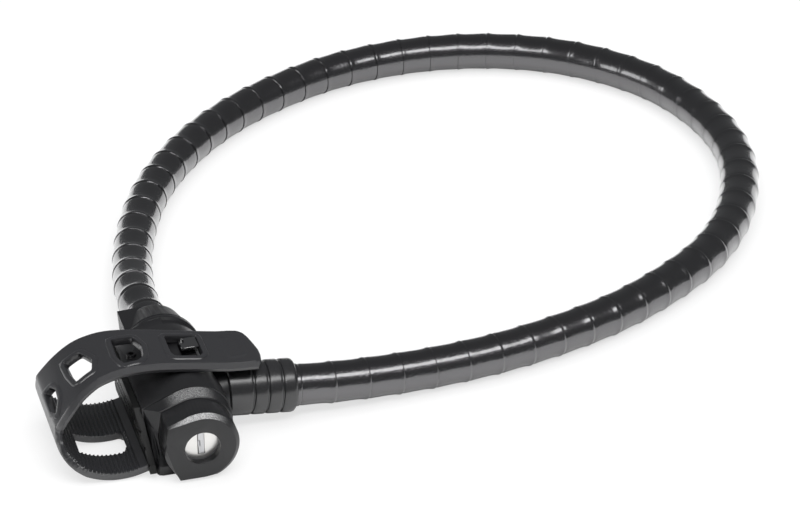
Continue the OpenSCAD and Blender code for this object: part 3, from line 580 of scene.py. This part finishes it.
strapSizes = {
    "middle": 6 * mm,
    "width": 38 * mm,
    "thick": 4.4 * mm,
    "bandThick": 4 * mm,
    "bandsWidth": 65 * mm,
    "nearBevel": 3.0 * mm,         # width of the slanted face along the near edge
    "nearDrop": 1.95 * mm,
    "edgeRound": 0.9 * mm,
    "underRound": 0.5 * mm,
    "bandUnderRound": 0.4 * mm,
    "windowRound": 0.55 * mm,
    "windowCorner": 1.2,           # in mm, as the next one
    "smallWindowCorner": 0.8,
    "rim": 0.7 * mm,               # height of the rims round the windows
    "rimWidth": 2.5 * mm,
    "rimRamp": 0.8 * mm,
    "pad": 0.5 * mm,               # depth of the shallow field at the free end
    "padCorner": 3 * mm,
    "padRamp": 1.6 * mm,
    "ribEvery": 2.4 * mm,
    "rib": 0.75 * mm,
    "ribWave": (-0.2, 0.83, 0.17), # least cosine, gain and lift of the ribs' profile
    "ribsFrom": (14, 10),          # heights in mm between which the ribs rise at the hinge's end
    "ribsTo": (-29.5, -27),        # places in mm between which they end at the base plate
    "slopeEnd": 9,                 # height in mm at which the slanted edge has faded out
    "bodyTop": 39.5,               # in mm
    "platePoint": (-28.53 * mm, 0, 30.5 * mm),
    "rake": 0.11636,               # lean of the base plate
    "stepsPerSpan": 8,
    "openReach": 6 * mm,           # how far an end that meets another piece is drawn out for its edges
}
# Points of the flat sheets: along their edges, over the field, and in rows beside the edges
tailMesh = {
    "step": 0.8 * mm,
    "grid": (1.3 * mm, 1.3 * mm),
    "rows": (0.35, 0.8, 1.4, 2.2, 3.0, 3.5),
    "holeRows": (0.25, 0.6, 1.6, 2.4, 2.8, 3.2, 3.7),
}
bandMesh = {
    "step": 0.4 * mm,
    "grid": (0.4 * mm, 2.5 * mm),
    "rows": (0.3, 0.7, 1.2),
    "holeRows": (0.3, 0.7, 1.2),
}
# Middle lines of the tail and the bands, as (x, z) in mm, from the free end and from the hinge
tailDrops = [(42, -1.2), (38, 0), (26, 0.8), (14, 2.7), (0, 5), (-12, 6.8), (-25, 8.1), (-35, 7.7),
             (-45, 5.3), (-53, 1.2), (-60, -4.3), (-65.4, -9.9), (-68.2, -13.3), (-68.7, -14.7),
             (-68.8, -15.72)]
tailLine = [(x, strapSizes["bodyTop"] + z) for x, z in tailDrops]
bandLine = [(-68.8, 23.72), (-69.1, 19), (-67, 13), (-62.4, 8.2), (-56.6, 4.4), (-50, 1.8),
            (-43, 0.6), (-36, 0.6), (-30.6, 1.4), (-23.8, 3.4)]


class Ribbon:
    def __init__(self, lineMm):
        self.line = smoothLine([Vector((x, 0, z)) * mm for x, z in lineMm], strapSizes["stepsPerSpan"])
        self.marks = lengthsAlong(self.line)
        self.length = self.marks[-1]
        steps = [b - a for a, b in zip(self.line, self.line[1:])]
        bends = [a.normalized() + b.normalized() for a, b in zip(steps, steps[1:])]
        self.turns = [steps[0]] + bends + [steps[-1]]

    # A flat strap's point (along, across, depth) on the bent strap
    def place(self, s, y, depth):
        s = max(0.0, min(self.length, s))
        i = min(int(np.searchsorted(self.marks, s, side="right")) - 1, len(self.marks) - 2)
        part = (s - self.marks[i]) / (self.marks[i + 1] - self.marks[i])
        direction = self.turns[i].normalized().lerp(self.turns[i + 1].normalized(), part).normalized()
        point = self.line[i].lerp(self.line[i + 1], part) + Vector((-direction.z, 0, direction.x)) * depth
        return Vector((point.x, y, point.z))

    # Distance along the strap at which a coordinate (0 for x, 2 for z) first reaches a value in mm
    def at(self, value, axis=0):
        for i in range(len(self.line) - 1):
            a, b = self.line[i][axis] / mm, self.line[i + 1][axis] / mm
            if a != b and min(a, b) <= value <= max(a, b):
                return self.marks[i] + (self.marks[i + 1] - self.marks[i]) * (a - value) / (a - b)
        toStart = abs(value - self.line[0][axis] / mm)
        return 0.0 if toStart < abs(value - self.line[-1][axis] / mm) else self.length


# A corner takes less than half of each side
def roundedCorners(points, radius, steps=3, share=0.45):
    out = []
    count = len(points)
    for i, corner in enumerate(points):
        here = Vector(corner)
        before = Vector(points[i - 1]) - here
        after = Vector(points[(i + 1) % count]) - here
        cut = min(radius, before.length * share, after.length * share)
        a = here + before.normalized() * cut
        b = here + after.normalized() * cut
        for k in range(steps + 1):
            t = k / steps
            out.append(tuple(a.lerp(here, t).lerp(here.lerp(b, t), t)))
    return out


def denseLoop(points, step):
    out = []
    for a, b in zip(points, points[1:] + points[:1]):
        a, b = Vector(a), Vector(b)
        count = max(1, math.ceil((b - a).length / step))
        out += [tuple(a.lerp(b, k / count)) for k in range(count)]
    return out


def loopSides(loop):
    points = np.array(loop)
    return zip(points, np.roll(points, -1, axis=0))


def loopDistance(places, loop):
    best = np.full(len(places), np.inf)
    for p, q in loopSides(loop):
        d = q - p
        t = np.clip(((places - p) @ d) / max(d @ d, 1e-18), 0, 1)
        best = np.minimum(best, np.linalg.norm(places - (p + t[:, None] * d), axis=1))
    return best


def insideLoop(places, loop):
    inside = np.zeros(len(places), bool)
    for p, q in loopSides(loop):
        crosses = (p[1] > places[:, 1]) != (q[1] > places[:, 1])
        if crosses.any():
            x = p[0] + (places[:, 1] - p[1]) * (q[0] - p[0]) / (q[1] - p[1])
            inside ^= crosses & (places[:, 0] < x)
    return inside


# A loop's points moved inwards by each row's distance, without those that come near another side
def rowsBeside(loop, isHole, rows):
    probeStep = 0.01 * mm
    kept = 0.97
    points = np.array(loop)
    along = np.roll(points, -1, axis=0) - np.roll(points, 1, axis=0)
    normal = np.stack([-along[:, 1], along[:, 0]], axis=1)
    normal /= np.linalg.norm(normal, axis=1)[:, None]
    wrong = insideLoop(points + normal * probeStep, loop) == isHole
    normal[wrong] *= -1
    moved = [(points + normal * row, row) for row in rows]
    return [line[loopDistance(line, loop) > kept * row] for line, row in moved]


# A flat sheet with holes as triangles, with rows of points that follow its edges
def flatSheet(outline, holes, sizes):
    edgeClear = 0.1 * mm
    gridShare = 0.4                # of the grid's step, kept free beside the last row
    sameMm = 1e-4                  # points nearer than this are one
    leastArea = 1e-10
    grid = sizes["grid"]
    loops = [denseLoop(loop, sizes["step"]) for loop in [outline] + holes]
    rows = [[v * mm for v in sizes["rows"]]] + [[v * mm for v in sizes["holeRows"]]] * len(holes)
    coords, edges = [], []
    for loop in loops:
        base = len(coords)
        coords += loop
        edges += [(base + i, base + (i + 1) % len(loop)) for i in range(len(loop))]
    low, high = np.array(outline).min(axis=0), np.array(outline).max(axis=0)
    xs = np.arange(low[0] + grid[0] / 2, high[0], grid[0])
    ys = np.arange(low[1] + grid[1] / 2, high[1], grid[1])
    field = np.array([(x, y) for x in xs for y in ys])
    clear = np.full(len(field), True)
    inner = []
    for index, loop in enumerate(loops):
        inner += rowsBeside(loop, index > 0, rows[index])
        clear &= loopDistance(field, loop) > rows[index][-1] + gridShare * min(grid)
    extra = np.concatenate(inner + [field[clear]])
    good = insideLoop(extra, loops[0]) & (loopDistance(extra, loops[0]) > edgeClear)
    for loop in loops[1:]:
        good &= ~insideLoop(extra, loop) & (loopDistance(extra, loop) > edgeClear)
    coords += [tuple(p) for p in extra[good]]
    scaled = [Vector(p) / mm for p in coords]
    points, _, triangles, *_ = geometry.delaunay_2d_cdt(scaled, edges, [], 0, sameMm)
    places = np.array([tuple(p) for p in points]) * mm
    triangles = np.array([tuple(t) for t in triangles])
    middles = places[triangles].mean(axis=1)
    keep = insideLoop(middles, loops[0])
    for loop in loops[1:]:
        keep &= ~insideLoop(middles, loop)
    # flat triangles along a straight edge go
    a, b = (places[triangles[:, k]] - places[triangles[:, 0]] for k in (1, 2))
    keep &= np.abs(a[:, 0] * b[:, 1] - a[:, 1] * b[:, 0]) > leastArea
    return places, triangles[keep], loops


# Two faces of the sheet at the given depths, joined round every edge, bent on the ribbon
def thickSheet(name, places, triangles, top, bottom, ribbon):
    count = len(places)
    faces = [tuple(int(i) for i in t) for t in triangles]
    uses = {}
    for t in faces:
        for a, b in ((t[0], t[1]), (t[1], t[2]), (t[2], t[0])):
            uses.setdefault((min(a, b), max(a, b)), []).append((a, b))
    rim = [pairs[0] for pairs in uses.values() if len(pairs) == 1]
    points = [ribbon.place(p[0], p[1], d) for p, d in zip(places, top)]
    points += [ribbon.place(p[0], p[1], d) for p, d in zip(places, bottom)]
    solid = faces + [tuple(i + count for i in reversed(t)) for t in faces]
    solid += [(b, a, a + count, b + count) for a, b in rim]
    return solidFrom(name, points, solid)


def smoothStep(values, low, high):
    t = np.clip((values - low) / (high - low), 0, 1)
    return t * t * (3 - 2 * t)


# Depth of a rounded edge at a distance from it
def roundedEdge(distance, radius):
    left = np.clip(radius - distance, 0, radius)
    return radius - np.sqrt(radius * radius - left * left)


# The same outline with one of its ends drawn out, so that no edge is rounded there
def openEnd(loop, end, shift):
    return [(x + shift if abs(x - end) < 0.1 * mm else x, y) for x, y in loop]


# Distance from a near edge given as points, and depth of the slanted face along it
def nearSlope(places, nearEdge):
    size = strapSizes
    xs = np.array([p[0] for p in nearEdge])
    ys = np.array([p[1] for p in nearEdge])
    fromNear = places[:, 1] - np.interp(places[:, 0], xs, ys)
    return fromNear, size["nearDrop"] * np.clip(1 - fromNear / size["nearBevel"], 0, 1)


def makeTail():
    size = strapSizes
    ribbon = Ribbon(tailLine)
    near = size["middle"] / mm - size["width"] / mm / 2
    far = near + size["width"] / mm

    def onRibbon(plan):
        return [(ribbon.at(x), y * mm) for x, y in plan]

    def window(centre, points, corner):
        middle = ribbon.at(centre)
        return roundedCorners([(middle - x * mm, size["middle"] + y * mm) for x, y in points], corner * mm)

    nearEdge = onRibbon([(38.4, near + 0.6), (30, near + 0.7), (12, near + 0.6), (-12, near + 0.3),
                         (-31, near - 1.4), (-45.7, near - 3.2), (-54.9, near - 5.9), (-60, near - 8.5),
                         (-65, near - 10.5), (-68.81, near - 12.8)])
    outline = nearEdge + onRibbon([(-68.81, far + 3.5), (-50, far + 3.5), (-36, far + 2.5), (-17, far),
                                   (13, far - 2), (30, far - 2.4), (34.8, 21.6), (37.4, 18.8),
                                   (38.9, 15), (41.9, 2.4), (41.8, -3), (40.7, -9)])
    large, small = size["windowCorner"], size["smallWindowCorner"]
    windows = [
        window(4.2, [(-8.1, 10.6), (8.1, 10.6), (8.1, -6.5), (5.6, -9.1), (-6.6, -9.1), (-8.1, -6)], small),
        window(-24.5, [(-6.6, 10), (4.5, 10.5), (7.3, 3), (6, -8), (2.5, -12), (-5, -13.5), (-7, -6)], large),
        window(-50, [(-7, 9), (2.2, 9), (7.2, -1.7), (5.1, -10.7), (-4.2, -12.5), (-6.3, -2)], large),
        window(-65.5, [(-3.0, 2), (0.7, 2), (3.5, -4), (3, -12), (-1, -20.5), (-3.4, -15.5),
                       (-3.4, -6)], small)]
    pad = roundedCorners(onRibbon([(24, 18.5), (31, 18), (35.5, 11), (36.4, 2), (34, -4.5), (24, -5)]),
                         size["padCorner"])
    places, triangles, loops = flatSheet(outline, windows, tailMesh)
    edge = loopDistance(places, openEnd(loops[0], ribbon.length, size["openReach"]))
    atWindow = np.min([loopDistance(places, loop) for loop in loops[1:]], axis=0)
    fromNear, slope = nearSlope(places, nearEdge)
    awayFromSlope = np.where(fromNear > size["nearBevel"], edge, size["width"])
    inPad = np.where(insideLoop(places, pad), loopDistance(places, pad), 0)
    top = size["rim"] * smoothStep(atWindow, size["rimWidth"], size["rimWidth"] + size["rimRamp"]) + slope
    top += roundedEdge(atWindow, size["windowRound"])
    top += roundedEdge(awayFromSlope, size["edgeRound"])
    top += size["pad"] * smoothStep(inPad, 0, size["padRamp"])
    bottom = size["thick"] - roundedEdge(np.minimum(edge, atWindow), size["underRound"])
    obj = thickSheet("strap_tail_piece", places, triangles, top, bottom, ribbon)
    smoothByAngle(obj, degrees=32)
    finishPiece(obj, "strap", "strap", "strap_tail")


def makeBands():
    size = strapSizes
    ribbon = Ribbon(bandLine)
    far = (size["middle"] + size["width"] / 2) / mm
    near = far - size["bandsWidth"] / mm
    tailNear = (size["middle"] - size["width"] / 2) / mm
    side = [(18, near + 11), (11.4, near + 7.5), (7.8, near + 3.6), (4.5, near + 1.3)]
    nearEdge = [(0, (tailNear - 12.8) * mm)] + [(ribbon.at(z, 2), y * mm) for z, y in side]
    outline = nearEdge + [(ribbon.at(-43), (near + 0.5) * mm), (ribbon.length, (near + 0.5) * mm),
                          (ribbon.length, (far + 1) * mm), (ribbon.at(-56), (far + 3) * mm),
                          (0, (far + 3.5) * mm)]
    slot = [(-59, near + 18), (-34, near + 18), (-31, near + 22), (-31, near + 33), (-33, near + 36),
            (-59, near + 36)]
    corner = size["smallWindowCorner"] * mm
    holes = [roundedCorners([(ribbon.at(x), y * mm) for x, y in slot], corner)]
    places, triangles, loops = flatSheet(outline, holes, bandMesh)
    along = places[:, 0]
    loops[0] = openEnd(openEnd(loops[0], 0, -size["openReach"]), ribbon.length, size["openReach"])
    edge = np.min([loopDistance(places, loop) for loop in loops], axis=0)
    fade = 1 - smoothStep(along, 0, ribbon.at(size["slopeEnd"], 2))
    fromNear, slope = nearSlope(places, nearEdge)
    rounding = 1 - fade * (1 - np.clip(fromNear / size["nearBevel"], 0, 1))
    top = (slope + size["rim"]) * fade + roundedEdge(edge, size["edgeRound"]) * rounding
    rising = smoothStep(along, *(ribbon.at(z, 2) for z in size["ribsFrom"]))
    ending = smoothStep(along, *(ribbon.at(x) for x in size["ribsTo"]))
    least, gain, lift = size["ribWave"]
    wave = np.clip(np.cos(2 * math.pi * along / size["ribEvery"]), least, 1) * gain + lift
    bottom = size["bandThick"] - roundedEdge(edge, size["bandUnderRound"])
    bottom += size["rib"] * wave * rising * (1 - ending)
    obj = thickSheet("strap_bands_piece", places, triangles, top, bottom, ribbon)
    # their ends stand on the raked plate
    with editing(obj.data) as work:
        bmesh.ops.bisect_plane(work, geom=work.verts[:] + work.edges[:] + work.faces[:],
                               plane_co=size["platePoint"], plane_no=(1, 0, size["rake"]), clear_outer=True)
        bmesh.ops.holes_fill(work, edges=[e for e in work.edges if e.is_boundary])
        bmesh.ops.recalc_face_normals(work, faces=work.faces)
    smoothByAngle(obj, degrees=35)
    finishPiece(obj, "head", "strap", "strap_bands")


# An upright block with the given outline in mm, from low to high
def block(name, outline, low, high):
    count = len(outline)
    points = [(x * mm, y * mm, z * mm) for z in (low, high) for x, y in outline]
    faces = [tuple(range(count)), tuple(reversed(range(count, 2 * count)))]
    faces += [(i, i + count, (i + 1) % count + count, (i + 1) % count) for i in range(count)]
    return solidFrom(name, points, faces)


catchSizes = {
    "box": (2.7, 11.8, 6.2, 16.1),   # left, right, near and far sides, in mm
    "bite": (1.9, 13.2, 3.3),        # middle and radius of the round bite
    "biteArc": range(-75, 61, 15),
    "foot": 35.1,
    "neck": 40.9,
    "top": 42.5,
    "footSetBack": 2.4,
    "footInset": 0.4,
    "footSink": 0.3,
    "bevel": 0.7 * mm,
}


# The catch: a flat head with a round bite in its open side, on a foot set back under it
def makeCatch():
    size = catchSizes
    left, right, near, far = size["box"]
    x, y, radius = size["bite"]
    turns = [math.radians(w) for w in size["biteArc"]]
    bite = [(x + radius * math.cos(w), y + radius * math.sin(w)) for w in turns]
    head = block("strap_catch_head", [(left, near), (right, near), (right, far)] + bite[::-1],
                 size["neck"], size["top"])
    bevelEdges(head, size["bevel"], segments=1, degrees=40)
    inset = size["footInset"]
    left, right, near, far = left + inset, right - inset, near + size["footSetBack"], far - inset
    foot = block("strap_catch_foot", [(left, near), (right, near), (right, far), (left, far)],
                 size["foot"], size["neck"] + size["footSink"])
    for obj in (head, foot):
        smoothByAngle(obj, degrees=40)
        finishPiece(obj, "head", "catch", "strap_catch")


makeTail()
makeBands()
makeCatch()
print("strap made")


# Collar

collarSizes = {
    "origin": (25.9 * mm, 0, 18.5 * mm),
    "backPlane": 23.1 * mm,
    "fall": 5.5,                   # slope towards the cable, in degrees
    "reach": 58 * mm,
    "radius": 13.75 * mm,
    "back": -2.6 * mm,             # from the origin, along the collar, as the next two
    "web": 1.4 * mm,
    "skinFloor": 18.1 * mm,
    "backBore": 8.9 * mm,
    "neckBore": 6.9 * mm,
    "skinBore": 11.6 * mm,
    "backRound": 0.6 * mm,
    "grooves": 3,
    "rib": 7.6 * mm,
    "groove": 0.42 * mm,
    # (distance from a groove's middle in groove widths, depth)
    "grooveSide": [(4, 0), (1.9, 0.14 * mm), (1.1, 0.4 * mm), (0.7, 0.9 * mm)],
    # (depth, distance from the front)
    "frontRound": [(0, 2 * mm), (0.3 * mm, 0.9 * mm), (1.1 * mm, 0.15 * mm), (1.5 * mm, 0)],
    "mouth": 0.1 * mm,             # widening of the skin's bore at the front
    "sides": 96,
}


# Turns a closed outline of (radius, along) about the local Z axis
def lathe(name, outline, sides, matrix):
    points, faces = [], []
    count = len(outline)
    for i in range(sides):
        w = 2 * math.pi * i / sides
        points += [matrix @ Vector((r * math.cos(w), r * math.sin(w), z)) for r, z in outline]
        for j in range(count):
            a, b = i * count + j, i * count + (j + 1) % count
            c, d = ((i + 1) % sides) * count + (j + 1) % count, ((i + 1) % sides) * count + j
            faces.append((a, b, c, d))
    return solidFrom(name, points, faces)


def makeCollar():
    size = collarSizes
    fall = math.radians(size["fall"])
    matrix = Matrix.Translation(size["origin"]) @ Matrix.Rotation(math.radians(90 + size["fall"]), 4, "Y")
    length = (size["reach"] - size["origin"][0]) / math.cos(fall)
    r, back, web = size["radius"], size["back"], size["web"]
    outline = [(size["backBore"], web), (size["backBore"], back), (r - size["backRound"], back),
               (r, back + size["backRound"])]
    side, width = size["grooveSide"], size["groove"]
    for k in range(size["grooves"], 0, -1):
        z = length - k * size["rib"]
        outline += [(r - depth, z - away * width) for away, depth in side]
        outline += [(r - depth, z + away * width) for away, depth in reversed(side)]
    outline += [(r - depth, length - away) for depth, away in size["frontRound"]]
    outline += [(size["skinBore"] + size["mouth"], length), (size["skinBore"], size["skinFloor"]),
                (size["neckBore"], size["skinFloor"]), (size["neckBore"], web)]
    obj = lathe("collar_piece", outline, size["sides"], matrix)
    # its back stands square to the socket
    toLocal = matrix.inverted()
    backEnd = back + size["backRound"] + 0.1 * mm
    for vertex in obj.data.vertices:
        local = toLocal @ vertex.co
        if local.z < backEnd:
            plane = (size["backPlane"] - size["origin"][0] + math.sin(fall) * local.x) / math.cos(fall)
            local.z += plane - back
            vertex.co = matrix @ local
    smoothByAngle(obj, degrees=35)
    finishPiece(obj, "free_end", "collar", "collar")


makeCollar()
print("collar made")


# Shells of the head, with softened edges

shellBevels = {
    "nose_cap": 0.35 * mm,
    "main_housing": 0.4 * mm,
    "rear_cover": 0.4 * mm,
    "base_plate": 0.35 * mm,
}
shellLooks = {"base_plate": "plate", "rear_cover": "cover"}


def softShell(node, width):
    source = frame["nodes"][node]
    mesh = source.data.copy()
    mesh.transform(source.matrix_world)
    with editing(mesh) as work:
        bmesh.ops.remove_doubles(work, verts=work.verts, dist=0.001 * mm)
        bmesh.ops.dissolve_limit(work, angle_limit=math.radians(1), verts=work.verts, edges=work.edges)
    obj = addObject(node + "_rounded", mesh)
    bevelEdges(obj, width, segments=2, degrees=25)
    smoothByAngle(obj, degrees=30)
    look = shellLooks.get(node, slotLooks[slotOf[node]])
    finishPiece(obj, bodyOf[node], look, node)


for node, width in shellBevels.items():
    softShell(node, width)
print("head shells made")


# Stage

stageSizes = {
    "floorHalf": 12.0,
    "floorDrop": 0.1 * mm,         # how far the floor lies under the table plane
    "floorWhite": 0.7,             # share of plain white in the floor that the camera sees
    "world": 0.16,
    "aim": (0.15, 0.15, 0),
    # name, place, size, power, and whether it shows in reflections
    "lamps": (("front_softbox", (0.25, -0.95, 1.7), (2.6, 0.55), 24, True),
              ("left_softbox", (-1.9, 0.3, 1.0), (1.2, 0.7), 9, True),
              ("overhead", (0.2, 0.2, 2.4), (3.0, 3.0), 62, False)),
}


# White for the camera, with the plain shader for light and reflections
def backdrop(tree, plain, whiteNode, share, target):
    white = tree.nodes.new(whiteNode)
    white.inputs["Color"].default_value = (1, 1, 1, 1)
    white.inputs["Strength"].default_value = 1.0
    path = tree.nodes.new("ShaderNodeLightPath")
    mix = tree.nodes.new("ShaderNodeMixShader")
    tree.links.new(mathNode(tree, "MULTIPLY", path.outputs["Is Camera Ray"], share), mix.inputs[0])
    tree.links.new(plain, mix.inputs[1])
    tree.links.new(white.outputs[0], mix.inputs[2])
    tree.links.new(mix.outputs[0], target)


def makeFloor():
    half, drop = stageSizes["floorHalf"], stageSizes["floorDrop"]
    corners = [(-half, -half, -drop), (half, -half, -drop), (half, half, -drop), (-half, half, -drop)]
    floor = addObject("floor", meshFrom("floor", corners, [(0, 1, 2, 3)]))
    paint = shader("floor", (0.9, 0.9, 0.9), roughness=0.6, specular=0.0)
    floor.data.materials.append(paint)
    nodes = paint.node_tree.nodes
    backdrop(paint.node_tree, nodes["Principled BSDF"].outputs[0], "ShaderNodeEmission",
             stageSizes["floorWhite"], nodes["Material Output"].inputs["Surface"])


def makeWorld():
    world = bpy.data.worlds.new("studio")
    bpy.context.scene.world = world
    world.use_nodes = True
    nodes = world.node_tree.nodes
    nodes["Background"].inputs["Color"].default_value = (0.95, 0.97, 1.0, 1)
    nodes["Background"].inputs["Strength"].default_value = stageSizes["world"]
    backdrop(world.node_tree, nodes["Background"].outputs[0], "ShaderNodeBackground", 1.0,
             nodes["World Output"].inputs["Surface"])


def makeLamps():
    for name, place, size, power, shiny in stageSizes["lamps"]:
        data = bpy.data.lights.new(name, "AREA")
        data.shape = "RECTANGLE"
        data.size, data.size_y = size
        data.energy = power
        lamp = addObject(name, data)
        lamp.location = place
        beam = Vector(stageSizes["aim"]) - Vector(place)
        lamp.rotation_euler = beam.to_track_quat("-Z", "Y").to_euler()
        lamp.visible_glossy = shiny


makeFloor()
makeWorld()
makeLamps()
bpy.context.scene.view_settings.view_transform = "Standard"
print("stage made")
